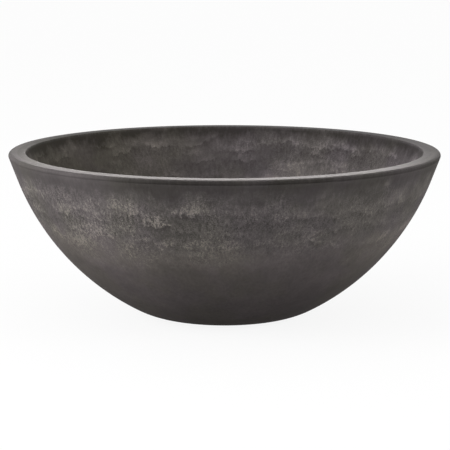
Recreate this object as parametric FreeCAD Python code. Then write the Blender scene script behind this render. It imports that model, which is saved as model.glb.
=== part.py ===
"""Bowl planter: a thick-walled round bowl moulded in stone-filled resin, and the rubber plug of its drain.

Sizes are in millimetres. +Z is up, and the origin is the centre of the base, on the ground it stands on.
"""
import FreeCAD
import Part
import math
import os

# Bowl, outside
rim_radius = 190.0        # widest radius, where the rim's outer edge rounds over
bowl_height = 146.5       # base to the top of the rim
band_depth = 23.0         # rim's top to where the straight band turns into the belly
belly_radius = 218.0      # radius of the belly's curve, seen from the side
heel_radius = 74.0        # radius of the turn from the belly to the base, seen from the side
base_radius = 47.0        # radius of the flat that the bowl stands on
rim_outer_round = 2.7     # rounding of the rim's outer edge
rim_inner_round = 1.0     # rounding of the rim's inner edge

# Bowl, thickness and underside
wall = 15.2               # thickness of the wall and of the floor, square to the surface
foot_ring_width = 10.0    # width of the ring that touches the ground
recess_depth = 3.0        # height of the underside's recess inside the foot ring
channel_count = 4         # shallow grooves that let water out under the foot ring
channel_depth = 2.0       # depth of a groove
channel_radius = 8.0      # radius of a groove's round section

# Drain hole
drain_radius = 12.5       # radius of the hole in the middle of the floor
drain_chamfer = 1.0       # bevel of the hole's lower edge

# Plug
plug_clearance = 0.25     # gap between the plug's ribs and the hole's wall
flange_overlap = 7.0      # how far the plug's flange covers the floor around the hole
flange_thickness = 3.2    # thickness of the flange
flange_round = 1.4        # rounding of the flange's upper edge
tip_height = 1.5          # the plug's lower end, above the ground
neck_length = 2.4         # plain neck between the flange and the first rib
rib_count = 3             # sealing ribs around the stem
rib_depth = 1.3           # how far a rib stands out of the stem
rib_land = 0.8            # height of a rib's widest part
plug_wall = 4.0           # rubber around and above the hollow of the stem
grip_width = 18.0         # width of the pull on top of the flange
grip_thickness = 4.6      # thickness of the pull's web
grip_height = 9.0         # height of the web, flange to the middle of the bead
bead_radius = 3.6         # radius of the bead along the top of the pull

# Values that follow from the sizes above
recess_radius = base_radius - foot_ring_width
flange_radius = drain_radius + flange_overlap
flange_top = wall + flange_thickness
rib_radius = drain_radius - plug_clearance
stem_radius = rib_radius - rib_depth
hollow_radius = stem_radius - plug_wall
hollow_roof = flange_top - plug_wall

# Directions, and angles of a side profile, which run from outward to upward
UP = FreeCAD.Vector(0, 0, 1)
ALONG_X = FreeCAD.Vector(1, 0, 0)
ORIGIN = FreeCAD.Vector(0, 0, 0)
FULL_TURN = 360
FACING_OUT = 0.0
FACING_UP = math.radians(90)
FACING_DOWN = math.radians(-90)
FACING_IN = math.radians(180)


def spot(radius, height):
    """A point of a side profile, at a radius from the axis and a height above the ground."""
    return FreeCAD.Vector(radius, 0, height)


def off(centre, distance, angle):
    """The point at a distance from centre, in the direction of an angle from outward to upward."""
    return centre + spot(distance * math.cos(angle), distance * math.sin(angle))


def arc(centre, radius, start, end):
    """A round stretch of a profile about centre, from one angle to another."""
    middle = (start + end) / 2
    three_points = [off(centre, radius, angle) for angle in (start, middle, end)]
    return Part.Arc(*three_points).toShape()


def lines(*points):
    """Straight stretches of a profile through points."""
    return [Part.makeLine(a, b) for a, b in zip(points, points[1:])]


def turned(edges):
    """The solid that a closed profile makes when it is turned about the upright axis."""
    face = Part.Face(Part.Wire(Part.__sortEdges__(edges)))
    return face.revolve(ORIGIN, UP, FULL_TURN)


# Side profile of the bowl

rim_round_centre = spot(rim_radius - rim_outer_round, bowl_height - rim_outer_round)
heel_centre = spot(base_radius, heel_radius)


def belly_centre(lean):
    """Centre of the belly's curve if the straight band leans out by that angle from upright."""
    band_top = off(rim_round_centre, rim_outer_round, -lean)
    band_length = (band_top.z - (bowl_height - band_depth)) / math.cos(lean)
    band_foot = band_top - spot(math.sin(lean), math.cos(lean)) * band_length
    return band_foot - off(ORIGIN, belly_radius, -lean)


def band_lean():
    """The lean at which the belly's curve runs smoothly into the heel, found by halving."""
    halvings = 60
    low = 0.0                     # upright
    high = math.radians(90)       # lying flat
    for _ in range(halvings):
        lean = (low + high) / 2
        reach = (belly_centre(lean) - heel_centre).Length
        if reach < belly_radius - heel_radius:
            low = lean
        else:
            high = lean
    return lean


def bowl_profile():
    """Closed profile of the bowl, right of the axis: outside, rim, inside, floor, drain hole, underside."""
    lean = band_lean()
    belly = belly_centre(lean)
    to_heel = heel_centre - belly
    heel_turn = math.atan2(to_heel.z, to_heel.x)

    band_foot = off(belly, belly_radius, -lean)
    band_top = off(rim_round_centre, rim_outer_round, -lean)
    outside = [
        arc(heel_centre, heel_radius, FACING_DOWN, heel_turn),
        arc(belly, belly_radius, heel_turn, -lean),
        *lines(band_foot, band_top),
        arc(rim_round_centre, rim_outer_round, -lean, FACING_UP),
    ]

    inner_foot = off(belly, belly_radius - wall, -lean)
    climb = bowl_height - inner_foot.z
    corner = spot(inner_foot.x + climb * math.tan(lean), bowl_height)
    setback = rim_inner_round / math.tan((FACING_UP + lean) / 2)
    inner_round_centre = corner + spot(setback, -rim_inner_round)
    rim_outer_end = off(rim_round_centre, rim_outer_round, FACING_UP)
    rim_inner_end = off(inner_round_centre, rim_inner_round, FACING_UP)
    inner_top = off(inner_round_centre, rim_inner_round, FACING_IN - lean)
    inside = [
        *lines(rim_outer_end, rim_inner_end),
        arc(inner_round_centre, rim_inner_round, FACING_UP, FACING_IN - lean),
        *lines(inner_top, inner_foot),
        arc(belly, belly_radius - wall, -lean, heel_turn),
        arc(heel_centre, heel_radius - wall, heel_turn, FACING_DOWN),
    ]

    floor_and_base = lines(
        spot(base_radius, wall),
        spot(drain_radius, wall),
        spot(drain_radius, recess_depth + drain_chamfer),
        spot(drain_radius + drain_chamfer, recess_depth),
        spot(recess_radius, recess_depth),
        spot(recess_radius, 0),
        spot(base_radius, 0),
    )
    return outside + inside + floor_and_base


def drain_channels():
    """The grooves under the foot ring, evenly spaced, the first one half a step off the X axis."""
    start = spot(recess_radius - channel_radius, channel_depth - channel_radius)
    length = base_radius + heel_radius - start.x
    groove = Part.makeCylinder(channel_radius, length, start, ALONG_X)
    step = FULL_TURN / channel_count
    grooves = []
    for number in range(channel_count):
        copy = groove.copy()
        copy.rotate(ORIGIN, UP, number * step + step / 2)
        grooves.append(copy)
    return grooves


def bowl_shell():
    """The moulded bowl: one piece with its rim, floor, drain hole and foot ring."""
    return turned(bowl_profile()).cut(drain_channels())


# Drain plug

def stem_outline():
    """The plug's outside from under the flange down to its tip: a neck, then barbed ribs."""
    rib_pitch = (wall - neck_length - tip_height) / rib_count
    points = [spot(flange_radius, wall), spot(stem_radius, wall)]
    for number in range(rib_count):
        shoulder = wall - neck_length - number * rib_pitch
        points.append(spot(stem_radius, shoulder))
        points.append(spot(rib_radius, shoulder))
        points.append(spot(rib_radius, shoulder - rib_land))
    points.append(spot(stem_radius, tip_height))
    return points


def plug_profile():
    """Closed profile of the plug without its pull: flange, ribbed stem and the hollow inside the stem."""
    edge_centre = spot(flange_radius - flange_round, flange_top - flange_round)
    underside = [
        spot(flange_radius, edge_centre.z),
        *stem_outline(),
        spot(hollow_radius, tip_height),
        spot(hollow_radius, hollow_roof),
        spot(0, hollow_roof),
        spot(0, flange_top),
        spot(edge_centre.x, flange_top),
    ]
    return [*lines(*underside), arc(edge_centre, flange_round, FACING_UP, FACING_OUT)]


def plug_pull():
    """The pull on the flange: a flat web with a round bead along its top to hold it by."""
    bead_height = flange_top + grip_height
    root = FreeCAD.Vector(-grip_width / 2, -grip_thickness / 2, flange_top)
    web = Part.makeBox(grip_width, grip_thickness, grip_height, root)
    bead_start = FreeCAD.Vector(-grip_width / 2, 0, bead_height)
    bead_end = FreeCAD.Vector(grip_width / 2, 0, bead_height)
    bead = Part.makeCylinder(bead_radius, grip_width, bead_start, ALONG_X)
    ends = [Part.makeSphere(bead_radius, place) for place in (bead_start, bead_end)]
    return [web, bead, *ends]


def drain_plug():
    """The rubber plug: its flange lies on the floor, and its ribbed stem fills the drain hole."""
    return turned(plug_profile()).fuse(plug_pull()).removeSplitter()


def write(name, shape):
    """Writes one piece, after testing that it is a single closed solid."""
    solids = shape.Solids
    if len(solids) != 1 or not solids[0].isValid():
        raise ValueError(name + " is not one valid solid")
    solids[0].exportStep(os.path.join("parts", name + ".step"))
    print(name, "has", round(solids[0].Volume), "cubic millimetres")


os.makedirs("parts", exist_ok=True)
print("band leans", round(math.degrees(band_lean()), 2), "degrees from upright")
write("bowl_shell", bowl_shell())
write("drain_plug", drain_plug())
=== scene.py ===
"""Looks of the bowl planter: the moulded bowl, its rubber drain plug, their finishes, and a plain studio."""
import math
from types import SimpleNamespace

import bmesh
import bpy
from mathutils import Matrix, Vector, noise


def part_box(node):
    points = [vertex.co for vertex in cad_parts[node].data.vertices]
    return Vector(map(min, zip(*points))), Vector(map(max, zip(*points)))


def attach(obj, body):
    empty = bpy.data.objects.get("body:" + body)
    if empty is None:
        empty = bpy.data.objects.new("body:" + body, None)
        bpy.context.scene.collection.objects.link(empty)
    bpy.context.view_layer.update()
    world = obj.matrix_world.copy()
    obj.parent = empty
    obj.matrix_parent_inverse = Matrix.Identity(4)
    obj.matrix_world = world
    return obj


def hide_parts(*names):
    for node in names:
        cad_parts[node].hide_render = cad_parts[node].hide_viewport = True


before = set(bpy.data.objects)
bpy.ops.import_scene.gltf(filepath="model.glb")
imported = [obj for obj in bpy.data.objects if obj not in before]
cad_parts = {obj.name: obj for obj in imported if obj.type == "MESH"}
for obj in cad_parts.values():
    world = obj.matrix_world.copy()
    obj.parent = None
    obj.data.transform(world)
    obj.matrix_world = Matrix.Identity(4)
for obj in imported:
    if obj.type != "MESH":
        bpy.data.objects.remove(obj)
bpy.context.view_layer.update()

# Sizes of the bowl, in metres
bowl_low, bowl_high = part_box("bowl_shell")
RIM_RADIUS = min(bowl_high.x, bowl_high.y, -bowl_low.x, -bowl_low.y)
BOWL_HEIGHT = bowl_high.z
BAND_DEPTH = 0.023           # rim's top to where the straight band turns into the belly
BELLY_RADIUS = 0.218         # radius of the belly's curve, seen from the side
HEEL_RADIUS = 0.074          # radius of the turn from the belly to the base
BASE_RADIUS = 0.047          # radius of the flat that the bowl stands on
RIM_OUTER_ROUND = 0.0027
RIM_INNER_ROUND = 0.0010
WALL = 0.0152                # thickness of the wall and of the floor
FOOT_RING_WIDTH = 0.010
RECESS_RADIUS = BASE_RADIUS - FOOT_RING_WIDTH
RECESS_DEPTH = 0.003
CHANNEL_COUNT = 4            # water grooves under the foot ring
CHANNEL_DEPTH = 0.002
CHANNEL_RADIUS = 0.008
DRAIN_RADIUS = 0.0125
DRAIN_CHAMFER = 0.001
SMALL_ROUND = 0.0008         # rounding of the edges of the foot ring, the recess and the hole
COVE_FOOT = 0.0052           # rim's top to the lower edge of the shallow groove under its rounding
COVE_DEPTH = 0.00014
UNEVENNESS = 0.00012         # how far the cast wall wanders from a true circle
UNEVEN_SCALE = 9.0           # sways of the wall to a metre

# Sizes of the plug, in metres
FLANGE_RADIUS = 0.0195
FLANGE_THICKNESS = 0.0032
FLANGE_TOP = WALL + FLANGE_THICKNESS
FLANGE_ROUND = 0.0014
PLUG_CLEARANCE = 0.00025     # between the ribs and the drain hole
RIB_RADIUS = DRAIN_RADIUS - PLUG_CLEARANCE
RIB_DEPTH = 0.0013
RIB_COUNT = 3
RIB_LAND = 0.0008
STEM_RADIUS = RIB_RADIUS - RIB_DEPTH
NECK_LENGTH = 0.0024
TIP_HEIGHT = 0.0015
PLUG_WALL = 0.004
HOLLOW_RADIUS = STEM_RADIUS - PLUG_WALL
GRIP_WIDTH = 0.018
GRIP_THICKNESS = 0.0046
GRIP_HEIGHT = 0.009
GRIP_FLARE = 0.0012          # rounding between the pull and the flange
GRIP_CORNER = 0.0008
BEAD_RADIUS = 0.0036

# How finely the pieces are divided, and the angle from which an edge stays sharp
BOWL_AROUND = 288
PLUG_AROUND = 96
BELLY_STEPS = 44
HEEL_STEPS = 20
INNER_HEEL_STEPS = 16
STRAIGHT_STEPS = 8
RIM_STEPS = 8
COVE_STEPS = 8
SMALL_STEPS = 4
FLARE_STEPS = 6
BOWL_SHARP = math.radians(50)
PLUG_SHARP = math.radians(35)
SAME_PLACE = 1e-6            # points nearer than this are one, in metres

# Pale dabs on the outside: degrees from the front, half width in degrees, height of the top and of the
# ragged foot, and strength
OUTER_DABS = (
    (-65, 5, 0.115, 0.103, 0.8), (-60, 5, 0.098, 0.087, 0.7),
    (-50, 6, 0.123, 0.107, 0.7), (-37, 7, 0.107, 0.092, 0.7),
    (-28, 5, 0.135, 0.119, 0.8), (-24, 4, 0.125, 0.115, 0.8), (-19, 5, 0.122, 0.1045, 1.5),
    (-10, 5, 0.125, 0.116, 0.9), (1, 6, 0.124, 0.116, 0.5), (8, 4, 0.117, 0.110, 0.4),
    (19, 5, 0.121, 0.109, 0.6),
    (-23, 5, 0.100, 0.090, 0.7), (-17, 4, 0.096, 0.086, 0.7), (-9, 6, 0.097, 0.087, 0.7),
    (12, 6, 0.102, 0.088, 0.5), (33, 6, 0.094, 0.082, 0.4),
)
# The same on the inside, with degrees from the back
INNER_DABS = (
    (-61, 5, 0.144, 0.135, 0.6), (-42, 6, 0.142, 0.132, 1.0), (-25, 6, 0.136, 0.124, 0.4),
    (-11, 5, 0.131, 0.120, 0.5), (0, 6, 0.134, 0.124, 0.5), (10, 7, 0.141, 0.131, 0.7),
    (22, 8, 0.120, 0.108, 0.7), (32, 4, 0.136, 0.122, 1.0), (48, 4, 0.138, 0.126, 0.9),
)


def below_rim(start, full):
    """Two heights, given as drops below the rim's top."""
    return BOWL_HEIGHT - start, BOWL_HEIGHT - full


# Where parts of the bowl's finish, and the light and shade painted into its tone, begin and where they are
# full, as heights above the ground in metres
MARKS_FOOT = (0.058, 0.092)
MARKS_HEAD = below_rim(0.0095, 0.0255)
PLAIN_BELLY = (0.102, 0.070)
# Painted shade near the ground and low on the belly's right
BASE_SHADE = (0.060, 0.015)
RIGHT_SHADE = (0.062, 0.018)
INSIDE_TOP = below_rim(0.0225, 0.0045)
# Painted light low on the inside's right
INSIDE_LOW = (0.125, 0.105)
# Painted light on the upper wall, under the rim
UPPER_WALL_LIGHT = below_rim(0.0305, 0.0125)
# Painted shade in the band and at the edge under the rim
BAND_FOOT = below_rim(0.0130, 0.0055)
BAND_HEAD = below_rim(0.0001, 0.0015)
EDGE_SHADE_FOOT = below_rim(0.0044, 0.0035)
EDGE_SHADE_HEAD = below_rim(0.0007, 0.0015)
# The rim's face, paler with painted light and with wear, and rubbed smoother
RIM_FACE = below_rim(0.0030, 0.0003)
# The same as distances to the right of the axis, and as a radius, for the finish and for the light and shade
# painted into it
# Painted light to the left and painted shade at the far left
LEFT_LIGHT = (0.10, -0.10)
FAR_LEFT_SHADE = (-0.10, -0.17)
# Painted shade low on the belly's right
SHADED_RIGHT = (0.0, 0.10)
# Painted sheen at the right edge
RIGHT_EDGE_SHEEN = (0.12, 0.18)
# Where the painted shade under the rim comes in and the painted light on the left goes out
SHADE_SPAN = (-0.16, -0.02)
LIT_RIGHT = (0.03, 0.12)
# Painted shade on the left of the inside, and painted light low on its right and at its far right
INSIDE_LEFT_SHADE = (0.02, -0.12)
INSIDE_RIGHT_LIGHT = (0.01, 0.08)
INSIDE_FAR_LIGHT = (0.08, 0.16)
INSIDE_COOL = (-0.14, 0.06)
RIM_WEAR = (RIM_RADIUS - 0.001, RIM_RADIUS - 0.012)

# Colours of the finishes: shades of the composite from dark to pale, tints of them, and the plug's rubber
CHARCOAL = (
    (0.0, (0.024, 0.0218, 0.0198)),
    (0.45, (0.074, 0.0680, 0.0655)),
    (0.75, (0.128, 0.1178, 0.1118)),
    (1.0, (0.215, 0.1960, 0.1740)),
)
PLAIN = (1.02, 1.004, 1.010, 1)
EARTH = (1.02, 0.981, 0.982, 1)
LOAM = (1.03, 1.003, 0.910, 1)
SLATE = (1.03, 0.997, 1.040, 1)
OLIVE = (0.995, 1.006, 0.970, 1)
VIOLET = (1.005, 0.994, 1.030, 1)
RUBBER_BLACK = (0.020, 0.020, 0.021, 1)
RUBBER_BLOOM = (0.046, 0.045, 0.043, 1)

# Gloss and relief of the finishes
WALL_ROUGHNESS = (0.82, 0.95)    # from its darkest tone to its palest
RIM_POLISH = 0.31                # how much smoother the rubbed face of the rim is
WALL_SPECULAR = 0.05
WALL_RELIEF = 0.0004             # depth in metres
RUBBER_ROUGHNESS = (0.55, 0.75)
RUBBER_RELIEF = 0.0003           # depth in metres
RELIEF_STRENGTH = 0.2

# The camera, as far as the photograph shows it
CAMERA_DISTANCE = 1.9
CAMERA_PITCH = math.radians(9.425)
CAMERA_TARGET = Vector((0.00037, 0, 0.07934))
CAMERA_LENS = 171.36         # millimetres
CAMERA_SENSOR = 36.0         # millimetres

# The studio's floor
FLOOR_PALE = (0.85, 0.85, 0.85, 1)
FLOOR_WHITE = 0.88           # share of the floor's look that is plain white, so that its shadow stays faint
FLOOR_BOUNCE = (0.15, 0.15, 0.15, 1)
FLOOR_REACH = 8.0
WINDOW_RADIUS = BASE_RADIUS - 0.002  # patch of the floor under the base that lets light up to the underside

# The studio's light: the tent's strengths low down, overhead, from below the floor, and on either side
TENT_LOW = 3.0
TENT_OVERHEAD = 0.65
TENT_BELOW = 0.45
TENT_LEFT = 1.10
TENT_RIGHT = 0.86
WHITE = (1, 1, 1)
WARM = (1, 0.94, 0.92)
BOWL_MIDDLE = (0, 0, 0.08)
FRONT_RIM = (-0.005, -RIM_RADIUS, BOWL_HEIGHT)

FULL_TURN = math.radians(360)
HALF_TURN = math.radians(180)
QUARTER = math.radians(90)


# Mesh helpers

def off(centre, distance, angle):
    """A point of a side profile at a distance from a centre; the angle turns from outward to upward."""
    return centre[0] + distance * math.cos(angle), centre[1] + distance * math.sin(angle)


def run_to(bm, corner, radius, height, steps=1):
    """Extends a side profile from its last corner by a straight stretch, and returns the new corner."""
    start = corner.co.copy()
    end = Vector((radius, 0, height))
    for step in range(steps):
        corner = bmesh.ops.extrude_vert_indiv(bm, verts=[corner])["verts"][0]
        corner.co = start.lerp(end, (step + 1) / steps)
    return corner


def bend(bm, corner, centre, angle, steps):
    """Extends a side profile by an arc about centre; a positive angle turns from outward to upward."""
    place = (centre[0], 0, centre[1])
    made = bmesh.ops.spin(bm, geom=[corner], cent=place, axis=(0, -1, 0), angle=angle, steps=steps)
    return [part for part in made["geom_last"] if isinstance(part, bmesh.types.BMVert)][0]


def turn_round(bm, steps):
    """Turns the whole profile once about the upright axis and closes it."""
    profile = bm.verts[:] + bm.edges[:]
    bmesh.ops.spin(
        bm, geom=profile, cent=(0, 0, 0), axis=(0, 0, 1), angle=FULL_TURN, steps=steps, use_merge=True)
    bmesh.ops.remove_doubles(bm, verts=bm.verts[:], dist=SAME_PLACE)
    bmesh.ops.recalc_face_normals(bm, faces=bm.faces[:])


def finish_piece(bm, name, body, node, material, sharp_angle):
    """Makes the mesh an object that replaces a CAD node, with smooth faces between its sharp edges."""
    for face in bm.faces:
        face.smooth = True
    for edge in bm.edges:
        edge.smooth = edge.is_manifold and edge.calc_face_angle() < sharp_angle
    mesh = bpy.data.meshes.new(name)
    bm.to_mesh(mesh)
    bm.free()
    piece = bpy.data.objects.new(name, mesh)
    bpy.context.scene.collection.objects.link(piece)
    mesh.materials.append(material)
    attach(piece, body)
    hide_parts(node)
    return piece


# The bowl

RIM_CENTRE = (RIM_RADIUS - RIM_OUTER_ROUND, BOWL_HEIGHT - RIM_OUTER_ROUND)
RING_CENTRE = (RECESS_RADIUS + SMALL_ROUND, SMALL_ROUND)
HEEL = (BASE_RADIUS, HEEL_RADIUS)


def belly_centre(lean):
    """Centre of the belly's curve if the band under the rim leans out by that angle from upright."""
    top_radius, top_height = off(RIM_CENTRE, RIM_OUTER_ROUND, -lean)
    foot_height = BOWL_HEIGHT - BAND_DEPTH
    foot_radius = top_radius - (top_height - foot_height) * math.tan(lean)
    return off((foot_radius, foot_height), BELLY_RADIUS, HALF_TURN - lean)


def band_lean():
    """The lean at which the belly runs smoothly into the heel, found by halving."""
    halvings = 60
    low = 0.0
    high = QUARTER
    for _ in range(halvings):
        lean = (low + high) / 2
        radius, height = belly_centre(lean)
        if math.hypot(radius - BASE_RADIUS, height - HEEL_RADIUS) < BELLY_RADIUS - HEEL_RADIUS:
            low = lean
        else:
            high = lean
    return lean


LEAN = band_lean()
BELLY = belly_centre(LEAN)
HEEL_TURN = math.atan2(HEEL[1] - BELLY[1], HEEL[0] - BELLY[0])


def cove(bm, corner, top):
    """A shallow round groove from the profile's last corner up to a point on the same straight wall."""
    foot = (corner.co.x, corner.co.z)
    half_chord = math.dist(foot, top) / 2
    radius = (half_chord ** 2 + COVE_DEPTH ** 2) / (2 * COVE_DEPTH)
    reach = radius - COVE_DEPTH
    middle = ((foot[0] + top[0]) / 2, (foot[1] + top[1]) / 2)
    return bend(bm, corner, off(middle, reach, -LEAN), -2 * math.asin(half_chord / radius), COVE_STEPS)


def outer_profile(bm, at):
    """The outside: heel, belly, straight band, cove and the rim's rounded outer edge."""
    wall_top = off(RIM_CENTRE, RIM_OUTER_ROUND, -LEAN)
    cove_height = BOWL_HEIGHT - COVE_FOOT
    cove_radius = wall_top[0] - (wall_top[1] - cove_height) * math.tan(LEAN)
    at = bend(bm, at, HEEL, HEEL_TURN + QUARTER, HEEL_STEPS)
    at = bend(bm, at, BELLY, -LEAN - HEEL_TURN, BELLY_STEPS)
    at = run_to(bm, at, cove_radius, cove_height, steps=6)
    at = cove(bm, at, wall_top)
    return bend(bm, at, RIM_CENTRE, QUARTER + LEAN, RIM_STEPS)


def inner_profile(bm, at):
    """The rim's flat face and its inner edge, and the inside down to the floor."""
    band_foot = off(BELLY, BELLY_RADIUS - WALL, -LEAN)
    corner_radius = band_foot[0] + (BOWL_HEIGHT - band_foot[1]) * math.tan(LEAN)
    setback = RIM_INNER_ROUND / math.tan((QUARTER + LEAN) / 2)
    edge_centre = (corner_radius + setback, BOWL_HEIGHT - RIM_INNER_ROUND)
    at = run_to(bm, at, edge_centre[0], BOWL_HEIGHT, STRAIGHT_STEPS)
    at = bend(bm, at, edge_centre, QUARTER - LEAN, steps=7)
    at = run_to(bm, at, *band_foot, STRAIGHT_STEPS)
    at = bend(bm, at, BELLY, HEEL_TURN + LEAN, BELLY_STEPS)
    return bend(bm, at, HEEL, -QUARTER - HEEL_TURN, INNER_HEEL_STEPS)


def floor_profile(bm, at):
    """The floor of the inside, the drain hole, the recess under it and the foot ring's inner edge."""
    hole_centre = (DRAIN_RADIUS + SMALL_ROUND, WALL - SMALL_ROUND)
    roof_centre = (RECESS_RADIUS - SMALL_ROUND, RECESS_DEPTH - SMALL_ROUND)
    at = run_to(bm, at, hole_centre[0], WALL, STRAIGHT_STEPS)
    at = bend(bm, at, hole_centre, QUARTER, SMALL_STEPS)
    at = run_to(bm, at, DRAIN_RADIUS, RECESS_DEPTH + DRAIN_CHAMFER, SMALL_STEPS)
    at = run_to(bm, at, DRAIN_RADIUS + DRAIN_CHAMFER, RECESS_DEPTH)
    at = run_to(bm, at, roof_centre[0], RECESS_DEPTH, steps=6)
    at = bend(bm, at, roof_centre, -QUARTER, SMALL_STEPS)
    at = run_to(bm, at, RECESS_RADIUS, RING_CENTRE[1])
    bend(bm, at, RING_CENTRE, QUARTER, SMALL_STEPS)


def bowl_profile(bm):
    """The bowl's closed side profile, from the foot ring's inner edge out and round."""
    at = bm.verts.new((RING_CENTRE[0], 0, 0))
    at = run_to(bm, at, BASE_RADIUS, 0, STRAIGHT_STEPS)
    at = outer_profile(bm, at)
    at = inner_profile(bm, at)
    floor_profile(bm, at)


def lift_channels(bm):
    """Presses the water grooves into the foot ring and the heel from below."""
    half_width = math.sqrt(CHANNEL_RADIUS ** 2 - (CHANNEL_RADIUS - CHANNEL_DEPTH) ** 2)
    step = FULL_TURN / CHANNEL_COUNT
    for vertex in bm.verts:
        radius = math.hypot(vertex.co.x, vertex.co.y)
        if vertex.co.z > CHANNEL_DEPTH or radius < RECESS_RADIUS - SMALL_ROUND:
            continue
        angle = (math.atan2(vertex.co.y, vertex.co.x) % step) - step / 2
        aside = radius * math.sin(angle)
        if abs(aside) < half_width:
            roof = CHANNEL_DEPTH - CHANNEL_RADIUS + math.sqrt(CHANNEL_RADIUS ** 2 - aside ** 2)
            vertex.co.z = max(vertex.co.z, roof)


def wander(bm):
    """Moves the wall a little out of true, as a cast and hand-finished wall is."""
    bm.normal_update()
    for vertex in bm.verts:
        share = min(1.0, vertex.co.z / HEEL_RADIUS)
        sway = noise.noise(vertex.co * UNEVEN_SCALE)
        vertex.co += vertex.normal * (sway - 1) * UNEVENNESS * share


def mark_inside(bm):
    """Stores 1 on the vertices of the inside and 0 on those of the outside, for the finish to read."""
    layer = bm.verts.layers.float.new("inside")
    middle = BELLY_RADIUS - WALL / 2
    for vertex in bm.verts:
        radius = math.hypot(vertex.co.x, vertex.co.y)
        reach = math.hypot(radius - BELLY[0], vertex.co.z - BELLY[1])
        vertex[layer] = 1.0 if reach < middle else 0.0


def build_bowl(material):
    """The moulded bowl."""
    bm = bmesh.new()
    bowl_profile(bm)
    turn_round(bm, BOWL_AROUND)
    lift_channels(bm)
    wander(bm)
    mark_inside(bm)
    return finish_piece(bm, "bowl", "bowl", "bowl_shell", material, BOWL_SHARP)


# The plug

def plug_profile(bm):
    """The plug's side profile from the middle of its top, round its flange and ribs, to its hollow's roof."""
    edge = (FLANGE_RADIUS - FLANGE_ROUND, FLANGE_TOP - FLANGE_ROUND)
    at = bm.verts.new((0, 0, FLANGE_TOP))
    at = run_to(bm, at, edge[0], FLANGE_TOP, steps=6)
    at = bend(bm, at, edge, -QUARTER, steps=6)
    at = run_to(bm, at, FLANGE_RADIUS, WALL)
    at = run_to(bm, at, STEM_RADIUS, WALL)
    pitch = (WALL - NECK_LENGTH - TIP_HEIGHT) / RIB_COUNT
    for number in range(RIB_COUNT):
        shoulder = WALL - NECK_LENGTH - number * pitch
        at = run_to(bm, at, STEM_RADIUS, shoulder)
        at = run_to(bm, at, RIB_RADIUS, shoulder)
        at = run_to(bm, at, RIB_RADIUS, shoulder - RIB_LAND)
    at = run_to(bm, at, STEM_RADIUS, TIP_HEIGHT)
    at = run_to(bm, at, HOLLOW_RADIUS, TIP_HEIGHT)
    roof = FLANGE_TOP - PLUG_WALL
    at = run_to(bm, at, HOLLOW_RADIUS, roof, steps=3)
    run_to(bm, at, 0, roof, steps=3)


def web_rows():
    """How far the pull's web is spread and raised at each of its rows, from inside the flange to its top."""
    rows = [(GRIP_FLARE, -GRIP_FLARE / 2)]
    for step in range(FLARE_STEPS + 1):
        angle = QUARTER * step / FLARE_STEPS
        rows.append((GRIP_FLARE * (1 - math.sin(angle)), GRIP_FLARE * (1 - math.cos(angle))))
    rows.append((0, GRIP_HEIGHT))
    return rows


def pull_web():
    """The upright web of the pull, flared where it grows out of the flange."""
    bm = bmesh.new()
    bmesh.ops.create_grid(bm, x_segments=1, y_segments=1, size=0.5)
    border = bm.edges[:]
    bmesh.ops.delete(bm, geom=bm.faces[:], context="FACES_ONLY")
    for number, (spread, rise) in enumerate(web_rows()):
        if number:
            made = bmesh.ops.extrude_edge_only(bm, edges=border)["geom"]
            border = [part for part in made if isinstance(part, bmesh.types.BMEdge)]
        for vertex in {vertex for edge in border for vertex in edge.verts}:
            vertex.co.x = math.copysign(GRIP_WIDTH / 2 + spread, vertex.co.x)
            vertex.co.y = math.copysign(GRIP_THICKNESS / 2 + spread, vertex.co.y)
            vertex.co.z = FLANGE_TOP + rise
    bmesh.ops.holes_fill(bm, edges=bm.edges[:], sides=4)
    upright = [edge for edge in bm.edges if abs(edge.verts[0].co.z - edge.verts[1].co.z) > SAME_PLACE]
    bmesh.ops.bevel(
        bm, geom=upright, offset=GRIP_CORNER, segments=3, profile=0.5, affect="EDGES", clamp_overlap=True,
        material=-1)
    bmesh.ops.recalc_face_normals(bm, faces=bm.faces[:])
    return bm


def pull_bead():
    """The round bead along the top of the pull, with round ends."""
    bm = bmesh.new()
    lying = Matrix.Rotation(QUARTER, 4, "Y")
    bmesh.ops.create_uvsphere(bm, u_segments=32, v_segments=16, radius=BEAD_RADIUS, matrix=lying)
    for vertex in bm.verts:
        vertex.co.x += GRIP_WIDTH / 2 if vertex.co.x > -SAME_PLACE else -GRIP_WIDTH / 2
        vertex.co.z += FLANGE_TOP + GRIP_HEIGHT
    bmesh.ops.recalc_face_normals(bm, faces=bm.faces[:])
    return bm


def fuse(bm, *others):
    """Joins closed meshes into one skin without the parts that lie inside it."""
    solids = []
    for part in (bm, *others):
        mesh = bpy.data.meshes.new("solid")
        part.to_mesh(mesh)
        part.free()
        solid = bpy.data.objects.new("solid", mesh)
        bpy.context.scene.collection.objects.link(solid)
        solids.append(solid)
    for solid in solids[1:]:
        join = solids[0].modifiers.new("join", "BOOLEAN")
        join.operation = "UNION"
        join.solver = "EXACT"
        join.object = solid
    whole = bmesh.new()
    whole.from_object(solids[0], bpy.context.evaluated_depsgraph_get())
    for solid in solids:
        mesh = solid.data
        bpy.data.objects.remove(solid)
        bpy.data.meshes.remove(mesh)
    bmesh.ops.recalc_face_normals(whole, faces=whole.faces[:])
    return whole


def build_plug(material):
    """The rubber plug with its pull."""
    bm = bmesh.new()
    plug_profile(bm)
    turn_round(bm, PLUG_AROUND)
    whole = fuse(bm, pull_web(), pull_bead())
    return finish_piece(whole, "plug", "plug", "drain_plug", material, PLUG_SHARP)


# Shader helpers

def add(tree, kind, values=None, **settings):
    """Adds a node, with its settings, and sets or links its inputs by name or number."""
    node = tree.nodes.new(kind)
    for name, value in settings.items():
        setattr(node, name, value)
    for name, value in (values or {}).items():
        if isinstance(value, bpy.types.NodeSocket):
            tree.links.new(value, node.inputs[name])
        else:
            node.inputs[name].default_value = value
    return node


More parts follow.
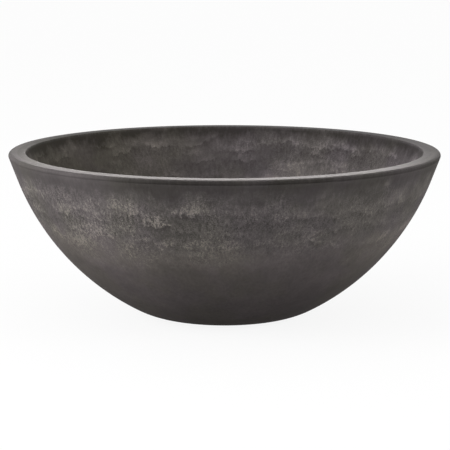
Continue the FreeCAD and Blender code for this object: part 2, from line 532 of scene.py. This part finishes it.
def calc(tree, operation, *values):
    """A sum on one, two or three numbers or sockets."""
    return add(tree, "ShaderNodeMath", dict(enumerate(values)), operation=operation).outputs[0]


def between(tree, value, low, high, to_low=0.0, to_high=1.0):
    """A soft step from to_low to to_high as the value goes from low to high."""
    values = {"Value": value, "From Min": low, "From Max": high, "To Min": to_low, "To Max": to_high}
    return add(tree, "ShaderNodeMapRange", values, interpolation_type="SMOOTHSTEP").outputs[0]


def ripple(tree, place, size, tall=1, detail=3, roughness=0.6, shift=(0, 0, 0)):
    """Seamless noise about 0, in patches of about a size in metres that are so many times as tall as wide."""
    moved = add(tree, "ShaderNodeMapping", {"Vector": place, "Location": shift, "Scale": (1, 1, 1 / tall)})
    values = {"Vector": moved.outputs[0], "Scale": 1 / size, "Detail": detail, "Roughness": roughness}
    return calc(tree, "SUBTRACT", add(tree, "ShaderNodeTexNoise", values).outputs[0], 0.5)


def layered(tree, base, *layers):
    """A base value plus each layer's value times its weight."""
    for value, weight in layers:
        base = calc(tree, "MULTIPLY_ADD", value, weight, base)
    return base


def product(tree, first, *others):
    """The product of several values."""
    for other in others:
        first = calc(tree, "MULTIPLY", first, other)
    return first


def blend_value(tree, share, first, second):
    """A number between two, by a share from 0 to 1."""
    return add(tree, "ShaderNodeMix", {0: share, 2: first, 3: second}, data_type="FLOAT").outputs[0]


def blend_colour(tree, share, first, second, blend="MIX"):
    """A colour between two, by a share from 0 to 1."""
    node = add(tree, "ShaderNodeMix", {0: share, 6: first, 7: second}, data_type="RGBA", blend_type=blend)
    return node.outputs[2]


def colour_ramp(tree, value, stops):
    """A colour for a value, between stops of a position and a colour."""
    ramp = add(tree, "ShaderNodeValToRGB", {"Fac": value})
    elements = ramp.color_ramp.elements
    while len(elements) < len(stops):
        elements.new(0.5)
    for element, (spot, colour) in zip(elements, stops):
        element.position = spot
        element.color = (*colour, 1)
    return ramp.outputs["Color"]


def new_material(name):
    """An empty material with a Principled shader on its output."""
    material = bpy.data.materials.new(name)
    material.use_nodes = True
    tree = material.node_tree
    tree.nodes.clear()
    shader = add(tree, "ShaderNodeBsdfPrincipled")
    add(tree, "ShaderNodeOutputMaterial", {"Surface": shader.outputs[0]})
    return material, tree, shader


# Node groups of the finishes

def new_group(name, vectors, numbers, results):
    """An empty node group with inputs and outputs of those names, and the sockets of its inputs."""
    tree = bpy.data.node_groups.new(name, "ShaderNodeTree")
    for label in vectors:
        tree.interface.new_socket(label, in_out="INPUT", socket_type="NodeSocketVector")
    for label in numbers:
        tree.interface.new_socket(label, in_out="INPUT", socket_type="NodeSocketFloat")
    for label in results:
        tree.interface.new_socket(label, in_out="OUTPUT", socket_type="NodeSocketFloat")
    return tree, add(tree, "NodeGroupInput").outputs


def use_group(tree, group, **values):
    """Places a node group in a tree, sets or links its inputs, and returns its outputs in order."""
    return add(tree, "ShaderNodeGroup", values, node_tree=group).outputs[:]


def grain_group():
    """Node group: the fine grain of a moulded surface, about 0, with so many grains to a metre."""
    tree, given = new_group("moulded_grain", ("Place",), ("Fineness",), ("Grain",))
    values = {"Vector": given["Place"], "Scale": given["Fineness"], "Detail": 2, "Roughness": 0.6}
    grain = add(tree, "ShaderNodeTexNoise", values).outputs[0]
    add(tree, "NodeGroupOutput", {"Grain": calc(tree, "SUBTRACT", grain, 0.5)})
    return tree


def tide_group():
    """Node group: pale washes that run down the wall, one under the other, each ending in a ragged edge."""
    tree, given = new_group(
        "tide_marks", ("Place",), ("Height", "Top", "Spacing", "Sway"), ("Wash", "Fringe", "Shade"))
    wave = ripple(tree, given["Place"], 0.071)
    height = calc(tree, "MULTIPLY_ADD", wave, given["Sway"], given["Height"])
    fall = calc(tree, "DIVIDE", calc(tree, "SUBTRACT", given["Top"], height), given["Spacing"])
    tide = calc(tree, "FRACT", fall)
    softness = ripple(tree, given["Place"], 0.029, detail=2, roughness=0.5, shift=(0.5, 0.2, 0.1))
    brink = between(tree, softness, -0.14, 0.08, 0.60, 0.97)
    fade = between(tree, tide, brink, 1.0, 1.0, 0.0)
    wash = calc(tree, "MULTIPLY", calc(tree, "POWER", tide, 1.3), fade)
    fringe = calc(tree, "MULTIPLY", between(tree, tide, 0.50, 0.92), fade)
    shade = between(tree, tide, 0.16, 0.0)
    add(tree, "NodeGroupOutput", {"Wash": wash, "Fringe": fringe, "Shade": shade})
    return tree


def dab_group():
    """Node group: one pale dab that brightens downward to a ragged foot, and the thin shade under it."""
    tree, given = new_group(
        "pale_dab", (), ("Turn", "Height", "Middle", "Reach", "Top", "Foot", "Strength"), ("Dab", "Under"))
    aside = calc(tree, "DIVIDE", calc(tree, "SUBTRACT", given["Turn"], given["Middle"]), given["Reach"])
    across = product(tree, between(tree, calc(tree, "ABSOLUTE", aside), 1.0, 0.3), given["Strength"])
    above = calc(tree, "SUBTRACT", given["Height"], given["Foot"])
    tall = calc(tree, "SUBTRACT", given["Top"], given["Foot"])
    down = between(tree, calc(tree, "DIVIDE", above, tall), 1.0, 0.3)
    dab = product(tree, across, down, between(tree, above, 0.0, 0.0015))
    under = product(tree, across, between(tree, above, -0.005, -0.0005), between(tree, above, 0.0012, 0.0))
    add(tree, "NodeGroupOutput", {"Dab": dab, "Under": under})
    return tree


# Finish of the bowl, with light and shade painted into its tone

def wall_spot(tree):
    """Where a point of the bowl lies, as the layers of the finish need it."""
    place = add(tree, "ShaderNodeTexCoord").outputs["Object"]
    axes = add(tree, "ShaderNodeSeparateXYZ", {0: place}).outputs
    inside = add(tree, "ShaderNodeAttribute", attribute_name="inside").outputs["Fac"]
    wave = ripple(tree, place, 0.025, detail=4, roughness=0.65)
    return SimpleNamespace(
        place=place, x=axes["X"], y=axes["Y"], height=axes["Z"], inside=inside,
        outside=calc(tree, "SUBTRACT", 1.0, inside),
        facing=calc(tree, "MULTIPLY_ADD", inside, -2.0, 1.0),
        ragged=layered(tree, axes["Z"], (wave, 0.040), (inside, -0.010)))


def wall_grit(tree, spot, grain):
    """Fine unevenness of the cast and brushed wall, each kind about 0."""
    return SimpleNamespace(
        grain=use_group(tree, grain, Place=spot.place, Fineness=1100)[0],
        streak=ripple(tree, spot.place, 0.0024, tall=10, roughness=0.65),
        haze=ripple(tree, spot.place, 0.0133, tall=1.7, detail=4),
        flake=between(tree, ripple(tree, spot.place, 0.0019, tall=2, detail=2), -0.12, 0.12, -0.5, 0.5))


def patches(tree, spot, size, shift):
    """Soft-edged patches of about a size, which cover about half of the wall."""
    return between(tree, ripple(tree, spot.place, size, roughness=0.55, shift=shift), -0.10, 0.12)


def blotches(tree, spot):
    """Small pale blotches."""
    return between(tree, ripple(tree, spot.place, 0.008, tall=1.3, shift=(0.1, 0.9, 0.5)), 0.0, 0.14)


def tide_layer(tree, tide, patch, flecked):
    """One set of tide marks, flecked along their edges, where a patch lets them show."""
    wash, fringe, shade = tide
    marks = layered(tree, 0.0, (wash, 0.20), (product(tree, fringe, flecked), 0.14), (shade, -0.05))
    return product(tree, marks, patch)


def dabs(tree, group, spots, turn, height):
    """The strongest of several dabs at each place, and of the shades under them."""
    pale = under = 0.0
    for middle, reach, top, foot, strength in spots:
        found = use_group(
            tree, group, Turn=turn, Height=height, Middle=math.radians(middle), Reach=math.radians(reach),
            Top=top, Foot=foot, Strength=strength)
        pale = calc(tree, "MAXIMUM", found[0], pale)
        under = calc(tree, "MAXIMUM", found[1], under)
    return pale, under


def dab_layer(tree, spot, height):
    """The dabs of the outside and of the inside, and the shades under them."""
    group = dab_group()
    ahead = calc(tree, "MULTIPLY", spot.y, calc(tree, "MULTIPLY", spot.facing, -1.0))
    fray = ripple(tree, spot.place, 0.0143, shift=(0.4, 0.8, 0.3))
    around = calc(tree, "WRAP", calc(tree, "ARCTAN2", spot.x, ahead), QUARTER, -QUARTER)
    turn = calc(tree, "MULTIPLY_ADD", fray, 0.16, around)
    outer_pale, outer_under = dabs(tree, group, OUTER_DABS, turn, height)
    inner_pale, inner_under = dabs(tree, group, INNER_DABS, turn, height)
    pale = blend_value(tree, spot.inside, outer_pale, inner_pale)
    under = blend_value(tree, spot.inside, outer_under, inner_under)
    return pale, under


def frayed_height(tree, spot, smooth):
    """Height of a point, with the scallops and feathers that fray the edges of the marks."""
    scallop = ripple(tree, spot.place, 0.0095, tall=1.6)
    feather = product(tree, ripple(tree, spot.place, 0.0022, tall=3, detail=2), smooth)
    return layered(tree, spot.height, (scallop, 0.014), (feather, 0.007))


def add_grit(tree, marks, grit, busy):
    """The marks with flakes, streaks and grain where the wall is busy."""
    return layered(
        tree, marks,
        (product(tree, busy, grit.flake), 0.20),
        (product(tree, busy, grit.streak), 0.50),
        (product(tree, busy, grit.grain), 1.6))


def pale_marks(tree, spot, grit):
    """Pale marks on the wall: two sets of tide marks and single dabs, busiest on one side, and their grit,
    with painted light to the left, painted shade at the far left and a painted sheen at the right edge.
    """
    smooth = calc(tree, "MULTIPLY_ADD", spot.inside, -0.5, 1.0)
    height = frayed_height(tree, spot, smooth)
    side = between(tree, calc(tree, "MULTIPLY", spot.x, spot.facing), 0.10, -0.10, 0.60, 1.0)
    pale, under = dab_layer(tree, spot, height)
    flecked = calc(tree, "MULTIPLY_ADD", product(tree, grit.flake, smooth), 0.6, 0.7)
    marks = layered(
        tree, 0.212,
        (product(tree, pale, flecked), 0.30),
        (product(tree, under, calc(tree, "SUBTRACT", 1.0, pale)), -0.07),
        (product(tree, spot.inside, side, blotches(tree, spot)), 0.10),
        # Painted light to the left, painted shade at the far left, and a painted sheen at the right edge
        (between(tree, spot.x, *LEFT_LIGHT), 0.06),
        (between(tree, spot.x, *FAR_LEFT_SHADE), -0.07),
        (between(tree, spot.x, *RIGHT_EDGE_SHEEN), 0.12))

    tide = tide_group()
    level = calc(tree, "MULTIPLY_ADD", spot.inside, -0.016, height)
    flecked = product(tree, flecked, side)
    patch = patches(tree, spot, 0.042, (0.3, 0.1, 0.7))
    wide = use_group(tree, tide, Place=spot.place, Height=level, Top=0.137, Spacing=0.026, Sway=0.028)
    marks = layered(tree, marks, (tide_layer(tree, wide, patch, flecked), 0.85))
    busy = product(tree, layered(tree, 0.5, (calc(tree, "MAXIMUM", patch, pale), 0.6)), side, smooth)
    marks = add_grit(tree, marks, grit, busy)
    moved = add(tree, "ShaderNodeMapping", {"Vector": spot.place, "Location": (0.31, 0.12, 0.57)}).outputs[0]
    narrow = use_group(tree, tide, Place=moved, Height=level, Top=0.133, Spacing=0.018, Sway=0.034)
    patch = patches(tree, spot, 0.033, (0.9, 0.4, 0.2))
    marks = layered(tree, marks, (tide_layer(tree, narrow, patch, flecked), 0.7))
    return product(
        tree, marks, between(tree, spot.ragged, *MARKS_FOOT), between(tree, spot.ragged, *MARKS_HEAD))


def belly_tone(tree, spot, plain):
    """The plain belly under the marks: paler than the wall above it, and darker to the base and its right, as
    painted shade.
    """
    base = between(tree, spot.height, *BASE_SHADE)
    right = product(tree, between(tree, spot.height, *RIGHT_SHADE), between(tree, spot.x, *SHADED_RIGHT))
    shade = product(tree, spot.outside, layered(tree, 0.0, (base, -0.05), (right, -0.18)))
    return layered(tree, shade, (plain, 0.30))


def inside_tone(tree, spot):
    """The inside: darker all over and more on its left, as painted shade, paler low on its right and at its
    far right, as painted light, and darker under the rim.
    """
    top = between(tree, spot.height, *INSIDE_TOP)
    left = between(tree, spot.x, *INSIDE_LEFT_SHADE)
    right = product(tree, between(tree, spot.x, *INSIDE_RIGHT_LIGHT), between(tree, spot.height, *INSIDE_LOW))
    far = between(tree, spot.x, *INSIDE_FAR_LIGHT)
    # Painted shade: the whole inside darker, more so on its left; painted light: paler low on its right and
    # at its far right
    tone = layered(tree, -0.20, (top, -0.04), (left, -0.05), (right, 0.24), (far, 0.05))
    return product(tree, spot.inside, tone)


def rim_tone(tree, spot, grit):
    """The band under the rim, darker towards the right as painted shade, with painted light on the wall under
    it at its left and right, and the rim's face, paler all over as painted light and worn towards its inner
    edge.
    """
    shaded_side = between(tree, spot.x, *SHADE_SPAN)
    band = product(tree, between(tree, spot.height, *BAND_FOOT), between(tree, spot.height, *BAND_HEAD))
    edge = product(tree, between(tree, spot.height, *EDGE_SHADE_FOOT), between(tree, spot.height, *EDGE_SHADE_HEAD))
    # Painted shade under the rim, on the side away from the light
    dark = layered(tree, 0.0, (band, -0.07), (edge, -0.17))
    # Painted light on the wall under the rim, at its left and right
    light = layered(tree, 0.18, (shaded_side, -0.18), (between(tree, spot.x, *LIT_RIGHT), 0.08))
    upper_light = product(tree, light, between(tree, spot.height, *UPPER_WALL_LIGHT))
    side = product(tree, spot.outside, layered(tree, upper_light, (product(tree, dark, shaded_side), 1.0), (band, 0.03)))
    flat = add(tree, "ShaderNodeVectorMath", {0: spot.place, 1: (1, 1, 0)}, operation="MULTIPLY").outputs[0]
    radius = add(tree, "ShaderNodeVectorMath", {0: flat}, operation="LENGTH").outputs["Value"]
    worn = between(tree, radius, *RIM_WEAR, -0.08, 0.08)
    # Painted light: the whole face paler; worn and paler still towards its inner edge
    face = layered(tree, 0.07, (worn, 1.0), (grit.flake, 0.11), (grit.grain, 0.24))
    return layered(tree, side, (product(tree, face, between(tree, spot.height, *RIM_FACE)), 1.0))


def composite_tint(tree, spot, plain):
    """Tint of the charcoal: olive and violet patches, earthy low on the belly and on the inside's left."""
    outer = blend_colour(tree, plain, PLAIN, EARTH)
    inner = blend_colour(tree, between(tree, spot.x, *INSIDE_COOL), LOAM, SLATE)
    tint = blend_colour(tree, spot.inside, outer, inner)
    patch = patches(tree, spot, 0.05, (0.6, 0.6, 0.1))
    return blend_colour(tree, 1.0, tint, blend_colour(tree, patch, OLIVE, VIOLET), "MULTIPLY")


def composite_material(grain):
    """Stone-filled resin: charcoal, with ragged pale tide marks, brushed streaks and a fine grain, and
    painted light and shade in its tone.
    """
    material, tree, shader = new_material("stone_composite")
    spot = wall_spot(tree)
    grit = wall_grit(tree, spot, grain)
    plain = between(tree, spot.ragged, *PLAIN_BELLY)
    tone = layered(
        tree, 0.24,
        (pale_marks(tree, spot, grit), 1.0),
        (belly_tone(tree, spot, plain), 1.0),
        (inside_tone(tree, spot), 1.0),
        (rim_tone(tree, spot, grit), 1.0),
        (ripple(tree, spot.place, 0.077, tall=0.6, detail=4, roughness=0.55), 0.45),
        (grit.haze, 0.18),
        (grit.streak, 0.24))
    charcoal = colour_ramp(tree, tone, CHARCOAL)
    colour = blend_colour(tree, 1.0, charcoal, composite_tint(tree, spot, plain), "MULTIPLY")
    tree.links.new(colour, shader.inputs["Base Color"])
    rough = between(tree, tone, 0.1, 0.9, *WALL_ROUGHNESS)
    rubbed = between(tree, spot.height, *RIM_FACE)
    tree.links.new(layered(tree, rough, (rubbed, -RIM_POLISH)), shader.inputs["Roughness"])
    relief = layered(tree, 0.0, (grit.grain, 0.6), (grit.streak, 0.6), (grit.haze, 0.5))
    depth = {"Strength": RELIEF_STRENGTH, "Distance": WALL_RELIEF, "Height": relief}
    bump = add(tree, "ShaderNodeBump", depth)
    tree.links.new(bump.outputs[0], shader.inputs["Normal"])
    shader.inputs["Specular IOR Level"].default_value = WALL_SPECULAR
    return material


# Finish of the plug

def rubber_material(grain):
    """Black moulded rubber with a dusty bloom."""
    material, tree, shader = new_material("plug_rubber")
    place = add(tree, "ShaderNodeTexCoord").outputs["Object"]
    bloom = ripple(tree, place, 0.006, detail=4)
    colour = blend_colour(tree, between(tree, bloom, -0.10, 0.25), RUBBER_BLACK, RUBBER_BLOOM)
    tree.links.new(colour, shader.inputs["Base Color"])
    tree.links.new(between(tree, bloom, -0.2, 0.2, *RUBBER_ROUGHNESS), shader.inputs["Roughness"])
    fine = use_group(tree, grain, Place=place, Fineness=1800)[0]
    depth = {"Strength": RELIEF_STRENGTH, "Distance": RUBBER_RELIEF, "Height": fine}
    bump = add(tree, "ShaderNodeBump", depth)
    tree.links.new(bump.outputs[0], shader.inputs["Normal"])
    return material


# The studio

def seen_directly(tree):
    """1 on rays that show the surroundings as they look: from the camera, mirrored or through glass."""
    path = add(tree, "ShaderNodeLightPath").outputs
    mirrored = calc(tree, "MAXIMUM", path["Is Glossy Ray"], path["Is Transmission Ray"])
    return calc(tree, "MAXIMUM", path["Is Camera Ray"], mirrored)


def floor_material():
    """Pale and nearly white where it is seen, dim to the bowl, and clear from below and under the base."""
    material = bpy.data.materials.new("pale_floor")
    material.use_nodes = True
    tree = material.node_tree
    tree.nodes.clear()
    seen = seen_directly(tree)
    dim = add(tree, "ShaderNodeBsdfDiffuse", {"Color": FLOOR_BOUNCE})
    pale = add(tree, "ShaderNodeBsdfDiffuse", {"Color": FLOOR_PALE})
    white = add(tree, "ShaderNodeEmission", {"Color": (*WHITE, 1), "Strength": 1.0})
    place = add(tree, "ShaderNodeTexCoord").outputs["Object"]
    away = add(tree, "ShaderNodeVectorMath", {0: place}, operation="LENGTH").outputs["Value"]
    under = calc(tree, "LESS_THAN", away, WINDOW_RADIUS)
    share = calc(tree, "MULTIPLY", calc(tree, "SUBTRACT", 1.0, under), FLOOR_WHITE)
    shown = add(tree, "ShaderNodeMixShader", {0: share, 1: pale.outputs[0], 2: white.outputs[0]})
    top = add(tree, "ShaderNodeMixShader", {0: seen, 1: dim.outputs[0], 2: shown.outputs[0]})
    clear = add(tree, "ShaderNodeBsdfTransparent")
    back = add(tree, "ShaderNodeNewGeometry").outputs["Backfacing"]
    open_share = calc(tree, "MAXIMUM", back, calc(tree, "SUBTRACT", under, seen))
    both = add(tree, "ShaderNodeMixShader", {0: open_share, 1: top.outputs[0], 2: clear.outputs[0]})
    add(tree, "ShaderNodeOutputMaterial", {"Surface": both.outputs[0]})
    return material


def build_floor():
    """A wide pale floor, which keeps the bowl's soft shadow."""
    bm = bmesh.new()
    bmesh.ops.create_grid(bm, x_segments=1, y_segments=1, size=FLOOR_REACH)
    mesh = bpy.data.meshes.new("floor")
    bm.to_mesh(mesh)
    bm.free()
    mesh.materials.append(floor_material())
    floor = bpy.data.objects.new("floor", mesh)
    bpy.context.scene.collection.objects.link(floor)


def build_world():
    """White where it is looked at, and otherwise a soft light, strongest low down and on the left."""
    world = bpy.data.worlds.new("studio")
    world.use_nodes = True
    tree = world.node_tree
    tree.nodes.clear()
    seen = seen_directly(tree)
    toward = add(tree, "ShaderNodeTexCoord").outputs["Generated"]
    axes = add(tree, "ShaderNodeSeparateXYZ", {0: toward}).outputs
    tent = between(tree, axes["Z"], 0.6, 0.05, TENT_OVERHEAD, TENT_LOW)
    tent = blend_value(tree, calc(tree, "LESS_THAN", axes["Z"], 0.0), tent, TENT_BELOW)
    tent = product(tree, tent, between(tree, axes["X"], -0.6, 0.9, TENT_LEFT, TENT_RIGHT))
    strength = blend_value(tree, seen, tent, 1.0)
    sky = add(tree, "ShaderNodeBackground", {"Color": (*WHITE, 1), "Strength": strength})
    add(tree, "ShaderNodeOutputWorld", {"Surface": sky.outputs[0]})
    bpy.context.scene.world = world


def softbox(name, place, target, width, height, power, spread=180, colour=WHITE):
    """A soft light at a place, facing a target; a spread under 180 degrees is a grid in front of it."""
    data = bpy.data.lights.new(name, "AREA")
    data.shape = "RECTANGLE"
    data.size = width
    data.size_y = height
    data.energy = power
    data.color = colour
    data.spread = math.radians(spread)
    lamp = bpy.data.objects.new(name, data)
    lamp.location = place
    lamp.rotation_euler = (Vector(target) - Vector(place)).to_track_quat("-Z", "Y").to_euler()
    lamp.visible_camera = False
    bpy.context.scene.collection.objects.link(lamp)


def build_camera():
    """The camera at the photograph's angle."""
    data = bpy.data.cameras.new("camera")
    data.lens = CAMERA_LENS
    data.sensor_width = CAMERA_SENSOR
    data.clip_end = 50.0
    camera = bpy.data.objects.new("camera", data)
    back = Vector((0, -math.cos(CAMERA_PITCH), math.sin(CAMERA_PITCH)))
    camera.location = CAMERA_TARGET + back * CAMERA_DISTANCE
    camera.rotation_euler = (-back).to_track_quat("-Z", "Y").to_euler()
    bpy.context.scene.collection.objects.link(camera)
    bpy.context.scene.camera = camera


grain = grain_group()
build_bowl(composite_material(grain))
build_plug(rubber_material(grain))
build_floor()
build_world()
softbox("key_left", (-1.5, -0.6, 0.6), BOWL_MIDDLE, width=1.2, height=1.2, power=23)
softbox("fill_right", (1.4, -0.35, 0.4), BOWL_MIDDLE, width=0.6, height=0.6, power=8)
softbox(
    "rim_light", (-0.005, 0.16, 0.25), FRONT_RIM, width=0.38, height=0.10, power=0.092,
    spread=50, colour=WARM)
build_camera()
bpy.context.scene.view_settings.view_transform = "Standard"
